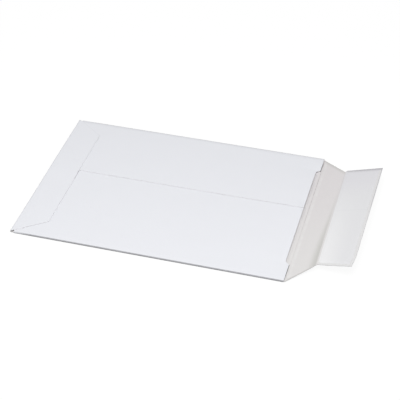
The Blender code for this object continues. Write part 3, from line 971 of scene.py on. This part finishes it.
def raw_board():
    """The board's inside: uncoated and warmer, its fibres showing, with painted shade along its creases and
    ends, darker band ends, and a painted highlight beside the mouth fold.
    """
    f = Finish("raw_board")
    cloud = f.cloud(INSIDE_CLOUD, FINE_DETAIL)
    fibre = f.cloud(INSIDE_FIBRE, FINE_DETAIL, FIBRE_STRETCH)
    fleck = f.band(f.cloud(FLECK_SIZE, FLECK_DETAIL, FIBRE_STRETCH), FLECK_START, FLECK_END)
    near_end = toward_near_end(f)
    colour = f.blend(mix_shares(cloud, fibre, CLOUD_SHARE), INSIDE_WHITE, INSIDE_WHITE_SHADE)
    colour = f.blend(near_end * INSIDE_NEUTRAL_SHARE, colour, INSIDE_NEUTRAL)
    colour = f.blend(fleck * FLECK_SHARE, colour, FLECK)
    colour = mark_mouth_fold(f, colour, near_end)
    colour = mark_band(f, colour, near_end)
    colour = mark_flap(f, colour, near_end)
    relief = mix_shares(fibre, f.cloud(INSIDE_GRAIN), INSIDE_FIBRE_SHARE)
    return f.finish(
        Base_Color=colour,
        Roughness=INSIDE_ROUGHNESS + FIBRE_ROUGHNESS * fibre,
        Normal=f.bump(relief, INSIDE_BUMP, INSIDE_RELIEF),
    )


def cut_board():
    """The board's cut edges: bare grey-white fibre in layers."""
    f = Finish("cut_board")
    layer = f.cloud(EDGE_LAYER, SOFT_DETAIL, EDGE_LAYER_STRETCH)
    fibre = f.cloud(EDGE_FIBRE, SOFT_DETAIL)
    colour = f.blend(mix_shares(layer, fibre, CLOUD_SHARE), EDGE_WHITE, EDGE_SHADE)
    relief = f.bump(fibre, EDGE_BUMP, EDGE_RELIEF)
    return f.finish(Base_Color=colour, Roughness=EDGE_ROUGHNESS, Normal=relief)


def liner_paper():
    """The release liner: cool, smooth paper with a satin face, a faint press mark across it, and painted
    light near its crease at the near end.
    """
    f = Finish("liner_paper")
    cloud = f.cloud(LINER_CLOUD, SOFT_DETAIL)
    fibre = f.cloud(LINER_FIBRE, FINE_DETAIL)
    mark = f.line(f.axis("Y"), LINER_MARK_Y, LINER_MARK_WIDTH)
    colour = f.blend(mix_shares(cloud, fibre, CLOUD_SHARE), LINER_WHITE, LINER_WHITE_SHADE)
    # painted light on the liner near its crease, strongest at the near end
    painted_light_near_root = toward_near_end(f) * (1.0 - f.band(f.axis("X"), LINER_NEAR_FULL, LINER_NEAR_END))
    colour = f.blend(painted_light_near_root, colour, LINER_PAINTED_LIGHT)
    colour = f.blend(f.band(f.axis("Y"), LINER_FAR_START, RECESS_HALF), colour, LINER_FAR)
    far_end = f.band(f.axis("Y"), LINER_END_START, BAND_END_HALF)
    colour = f.blend(far_end * LINER_END_SHARE, colour, FAR_END_SHADE)
    colour = f.blend(mark * LINER_MARK_SHARE, colour, LINER_MARK_SHADE)
    cloud_share, fibre_share, mark_share = LINER_RELIEF_SHARES
    relief = cloud * cloud_share + fibre * fibre_share + mark * mark_share
    return f.finish(
        Base_Color=colour,
        Roughness=LINER_ROUGHNESS + LINER_FIBRE_ROUGHNESS * fibre,
        Normal=f.bump(relief, LINER_BUMP, LINER_RELIEF),
    )


def seal_gum():
    """The self-seal strip: pale yellowish gum with coating ribs."""
    f = Finish("seal_gum")
    rib = f.cloud(GUM_RIB, PLAIN_DETAIL, GUM_RIB_STRETCH)
    colour = f.blend(f.cloud(GUM_CLOUD, SOFT_DETAIL), GUM, GUM_SHADE)
    return f.finish(
        Base_Color=colour,
        Roughness=GUM_ROUGHNESS + FIBRE_ROUGHNESS * rib,
        Normal=f.bump(rib, GUM_BUMP, GUM_RELIEF),
    )


def seen_directly(finish):
    """1 for what the camera, a reflection or a clear surface sees, 0 for light that a surface scatters."""
    seen = finish.add("ShaderNodeLightPath", {}, {}, "Is Camera Ray")
    for ray in ("Is Glossy Ray", "Is Transmission Ray"):
        seen = seen.maths("MAXIMUM", seen, finish.add("ShaderNodeLightPath", {}, {}, ray))
    return seen


def make_floor():
    """A white floor that keeps the envelope's shadow and runs out into plain white."""
    bpy.ops.object.select_all(action="DESELECT")
    bpy.ops.mesh.primitive_circle_add(
        vertices=FLOOR_SIDES, radius=FLOOR_RADIUS, fill_type="NGON", location=(0.0, 0.0, 0.0)
    )
    floor = bpy.context.object
    floor.name = "floor"
    for vert in floor.data.vertices:
        vert.co.z -= FLOOR_DROP
    f = Finish("floor_white")
    plain = f.add("ShaderNodeEmission", {}, {"Color": WHITE, "Strength": 1.0})
    lit = f.add("ShaderNodeBsdfDiffuse", {}, {"Color": FLOOR_SEEN})
    glow = f.add("ShaderNodeEmission", {}, {"Color": WHITE, "Strength": FLOOR_GLOW})
    close_by = f.add("ShaderNodeAddShader", {}, {0: lit, 1: glow})
    reach = f.add("ShaderNodeVectorMath", {"operation": "LENGTH"}, {0: f.place()}, "Value")
    far_off = f.band(reach, FLOOR_NEAR, FLOOR_FAR)
    shown = f.add("ShaderNodeMixShader", {}, {0: far_off, 1: close_by, 2: plain})
    scatter = f.add("ShaderNodeBsdfDiffuse", {}, {"Color": FLOOR_BOUNCE})
    seen = seen_directly(f)
    both = f.add("ShaderNodeMixShader", {}, {0: seen, 1: scatter, 2: shown})
    f.tree.links.new(both.socket, f.tree.nodes["Material Output"].inputs["Surface"])
    floor.data.materials.append(f.material)


def make_lights():
    """A large soft lamp high over the near side, a little right, and plain soft light from all round."""
    lamp = bpy.data.lights.new("soft_lamp", "AREA")
    lamp.shape = "SQUARE"
    lamp.size = LAMP_SIZE
    lamp.energy = LAMP_POWER
    holder = bpy.data.objects.new("soft_lamp", lamp)
    bpy.context.scene.collection.objects.link(holder)
    holder.location = LAMP_PLACE
    holder.rotation_euler = (LAMP_AIM - LAMP_PLACE).to_track_quat("-Z", "Y").to_euler()

    world = bpy.data.worlds.new("studio")
    world.use_nodes = True
    bpy.context.scene.world = world
    tree = world.node_tree
    tree.nodes.clear()
    output = tree.nodes.new("ShaderNodeOutputWorld")
    mix = tree.nodes.new("ShaderNodeMixShader")
    room = tree.nodes.new("ShaderNodeBackground")
    room.inputs["Color"].default_value = WHITE
    room.inputs["Strength"].default_value = ROOM_LIGHT
    backdrop = tree.nodes.new("ShaderNodeBackground")
    backdrop.inputs["Color"].default_value = WHITE
    path = tree.nodes.new("ShaderNodeLightPath")
    first = tree.nodes.new("ShaderNodeMath")
    first.operation = "MAXIMUM"
    second = tree.nodes.new("ShaderNodeMath")
    second.operation = "MAXIMUM"
    tree.links.new(path.outputs["Is Camera Ray"], first.inputs[0])
    tree.links.new(path.outputs["Is Glossy Ray"], first.inputs[1])
    tree.links.new(first.outputs[0], second.inputs[0])
    tree.links.new(path.outputs["Is Transmission Ray"], second.inputs[1])
    tree.links.new(second.outputs[0], mix.inputs[0])
    tree.links.new(room.outputs[0], mix.inputs[1])
    tree.links.new(backdrop.outputs[0], mix.inputs[2])
    tree.links.new(mix.outputs[0], output.inputs["Surface"])


def make_camera():
    """The camera, at the photograph's angle."""
    azimuth = math.radians(CAMERA_AZIMUTH)
    elevation = math.radians(CAMERA_ELEVATION)
    level = math.cos(elevation)
    back = Vector((math.sin(azimuth) * level, -math.cos(azimuth) * level, math.sin(elevation)))
    data = bpy.data.cameras.new("camera")
    data.lens = LENS
    data.sensor_width = SENSOR
    camera = bpy.data.objects.new("camera", data)
    bpy.context.scene.collection.objects.link(camera)
    camera.location = CAMERA_TARGET + back * CAMERA_DISTANCE
    camera.rotation_euler = (-back).to_track_quat("-Z", "Y").to_euler()
    bpy.context.scene.camera = camera


def make_envelope():
    """Make each piece, and fix the strip and the liner to the closing flap's body."""
    board_finishes = [coated_board(), raw_board(), cut_board()]
    lean = Vector((math.cos(BAND_RAISE), 0.0, math.sin(BAND_RAISE)))
    band_end = FLAP_CREASE - lean * BOARD_JOIN

    board = model_pocket()
    thicken(board, BOARD, board_finishes)
    soften(board, lambda p: near_plane(p, band_end, lean))
    smooth(board)
    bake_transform(board)
    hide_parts("pocket", "mouth_band")

    flap = model_closing_flap()
    thicken(flap, BOARD, board_finishes)
    soften(flap, lambda p: near_plane(p, band_end, lean))
    smooth(flap)
    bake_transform(flap)
    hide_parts("closing_flap")

    strip = model_strip()
    thicken(strip, SHEET_THICKNESS, [seal_gum()])
    smooth(strip)
    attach(strip, "closing_flap")
    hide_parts("adhesive_strip")

    liner = model_liner()
    thicken(liner, SHEET_THICKNESS, [liner_paper()])
    smooth(liner)
    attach(liner, "closing_flap")
    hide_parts("release_liner")


make_camera()
make_lights()
make_floor()
make_envelope()
bpy.context.scene.view_settings.view_transform = "Standard"
